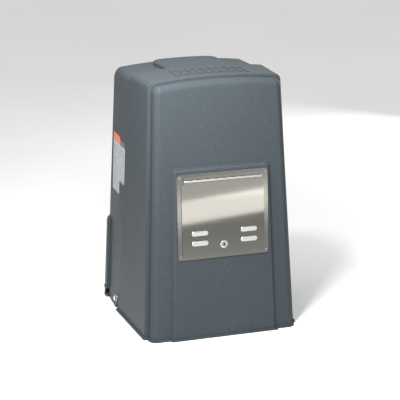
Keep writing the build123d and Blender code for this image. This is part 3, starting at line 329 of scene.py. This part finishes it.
SLOT_MATERIALS = {
    "hood_plastic": hood_plastic,
    "stainless": lambda: brushed_steel("stainless", (0.58, 0.565, 0.53)),
    "gasket_rubber": rubber,
    "bright_steel": lambda: plated_steel("bright_steel", (0.80, 0.80, 0.80)),
    "zinc_steel": lambda: plated_steel("zinc_steel", (0.58, 0.58, 0.56), (0.25, 0.42)),
    "painted_frame": lambda: enamel("painted_frame", (0.030, 0.031, 0.034)),
    "gearbox_paint": lambda: enamel("gearbox_paint", (0.045, 0.085, 0.150)),
    "machined_steel": lambda: brushed_steel("machined_steel", (0.50, 0.50, 0.50), STEEL_LINES),
    "bronze": lambda: brushed_steel("bronze", (0.60, 0.38, 0.14), BRONZE_LINES),
    "motor_paint": lambda: enamel("motor_paint", (0.022, 0.023, 0.026)),
    "laminations": lambda: cast_metal("laminations", (0.24, 0.235, 0.23)),
    "black_plastic": lambda: moulded("black_plastic", (0.022, 0.022, 0.024)),
    "white_plastic": lambda: moulded("white_plastic", (0.66, 0.65, 0.62)),
    "red_plastic": lambda: moulded("red_plastic", (0.50, 0.030, 0.022), (0.22, 0.34)),
    "box_paint": lambda: enamel("box_paint", (0.36, 0.37, 0.37), chips=(0.2, 0.2, 0.2)),
    "board_green": solder_mask,
    "relay_blue": lambda: moulded("relay_blue", (0.03, 0.10, 0.34), (0.2, 0.3)),
    "capacitor_metal": lambda: brushed_steel("capacitor_metal", (0.66, 0.66, 0.67), CAN_LINES),
    "transformer_core": lambda: cast_metal("transformer_core", (0.20, 0.19, 0.18)),
}


def dress(node, material):
    """Put one material in every slot of a CAD node."""
    for place in nodes[node].material_slots:
        place.material = material


def dress_cad_nodes():
    """Give every CAD node the material of its slot, then some nodes a material of their own."""
    made = {slot: make() for slot, make in SLOT_MATERIALS.items()}
    for part in frame["record"]["subparts"]:
        if part["material_slot"] in made:
            dress(part["node"], made[part["material_slot"]])
    own = {
        # The key plug's dark colour is painted shade standing in for the black keyhole and its shadow.
        "lock_cylinder": plated_steel("key_plug", (0.30, 0.30, 0.30)),
        "lock_housing": plated_steel("lock_chrome", (0.62, 0.63, 0.65)),
        "rear_label": label_print("rear_label_print", "rear_label", 15.0, (0.52, 0.085, 0.022)),
        "front_label": label_print("front_label_print", "front_label", 11.0, (0.035, 0.038, 0.042)),
        # Door, rivet and frame steel get colours far darker than the stainless slot: painted shade
        # standing in for the dark reflections in them.
        "access_door": sheet_steel("door_steel", (0.20, 0.195, 0.175), (0.06, 0.10), DOOR_PROUD),
        "frame_rivets": sheet_steel("rivet_steel", (0.24, 0.236, 0.22), (0.24, 0.34), NOT_PROUD),
        "door_frame": sheet_steel("frame_steel", (0.19, 0.187, 0.170), (0.16, 0.24), FRAME_PROUD),
    }
    for node, material in own.items():
        dress(node, material)


# ---------------------------------------------------------------- stage, lights, camera
FLOOR_HALF = 40.0
FLOOR_GAP = 0.0004              # keeps the floor just below the model's lowest face
WORLD_STRENGTH = 0.8


def pale_floor():
    """Plain pale matt floor."""
    g = Graph("pale_floor")
    shade = g.ramp(g.noise(1.5), (0.3, (0.80, 0.80, 0.80)), (0.7, (0.83, 0.83, 0.83)))
    return g.finish(shade, 0.75, Specular_IOR_Level=0.1)


def build_stage():
    """Floor under the model and an even white surround."""
    mesh = bpy.data.meshes.new("floor")
    corners = [(-1, -1), (1, -1), (1, 1), (-1, 1)]
    level = cad_low.z - FLOOR_GAP
    mesh.from_pydata([(x * FLOOR_HALF, y * FLOOR_HALF, level) for x, y in corners], [], [(0, 1, 2, 3)])
    floor = bpy.data.objects.new("floor", mesh)
    bpy.context.collection.objects.link(floor)
    mesh.materials.append(pale_floor())

    world = bpy.data.worlds.new("studio")
    bpy.context.scene.world = world
    world.use_nodes = True
    surround = world.node_tree.nodes["Background"]
    surround.inputs["Color"].default_value = (1.0, 1.0, 1.0, 1.0)
    surround.inputs["Strength"].default_value = WORLD_STRENGTH


def softbox(name, place, aim, size, power, roll=0.0):
    """Rectangular area light aimed at a point and rolled about its own axis, in degrees."""
    light = bpy.data.lights.new(name, "AREA")
    light.shape = "RECTANGLE"
    light.size, light.size_y = size
    light.energy = power
    lamp = bpy.data.objects.new(name, light)
    lamp.location = place
    turn = Quaternion((0.0, 0.0, 1.0), math.radians(roll))
    lamp.rotation_euler = ((Vector(aim) - Vector(place)).to_track_quat("-Z", "Y") @ turn).to_euler()
    bpy.context.collection.objects.link(lamp)


def build_lights():
    """Four lights round the hood, and two faint strips that show as a bright band in the door."""
    middle = (cad_low + cad_high) / 2
    upper_front = middle + Vector((-0.05, 0.0, 0.2))
    roof, left_edge = (-0.05, -0.05, 0.65), (-0.2, -0.2, 0.33)
    door, door_top = (0.0, -0.24, 0.33), (0.0, -0.24, 0.39)
    softbox("key", (-0.42, -0.80, 1.20), upper_front, size=(0.20, 0.20), power=28.0)
    softbox("top", (-0.30, -0.30, 1.40), roof, size=(0.14, 0.14), power=12.0)
    softbox("back", (1.9, 1.5, 0.7), middle, size=(1.4, 1.0), power=16.0)
    softbox("edge", (-1.15, -1.45, 0.30), left_edge, size=(0.10, 0.9), power=11.0)
    softbox("door_band", (0.21, -0.76, 0.272), door, size=(0.40, 0.068), power=0.27, roll=8.0)
    softbox("door_glow", (0.19, -0.76, 0.330), door_top, size=(0.42, 0.07), power=0.10, roll=4.0)


# The camera stands to the front left and looks slightly down.
CAMERA_AZIMUTH, CAMERA_ELEVATION = math.radians(19.4), math.radians(15.78)
CAMERA_DISTANCE, CAMERA_LENS, SENSOR_WIDTH = 4.5176, 153.92, 36.0
CAMERA_AIM = Vector((-0.0666, -0.225, 0.3832))


def build_camera():
    """Camera at its distance from the point it aims at."""
    look = Vector((
        math.sin(CAMERA_AZIMUTH) * math.cos(CAMERA_ELEVATION),
        math.cos(CAMERA_AZIMUTH) * math.cos(CAMERA_ELEVATION),
        -math.sin(CAMERA_ELEVATION),
    ))
    data = bpy.data.cameras.new("camera")
    data.lens = CAMERA_LENS
    data.sensor_width = SENSOR_WIDTH
    camera = bpy.data.objects.new("camera", data)
    camera.location = CAMERA_AIM - look * CAMERA_DISTANCE
    camera.rotation_euler = look.to_track_quat("-Z", "Y").to_euler()
    bpy.context.collection.objects.link(camera)
    bpy.context.scene.camera = camera


dress_cad_nodes()
build_stage()
build_lights()
build_camera()
bpy.context.scene.view_settings.view_transform = "Standard"
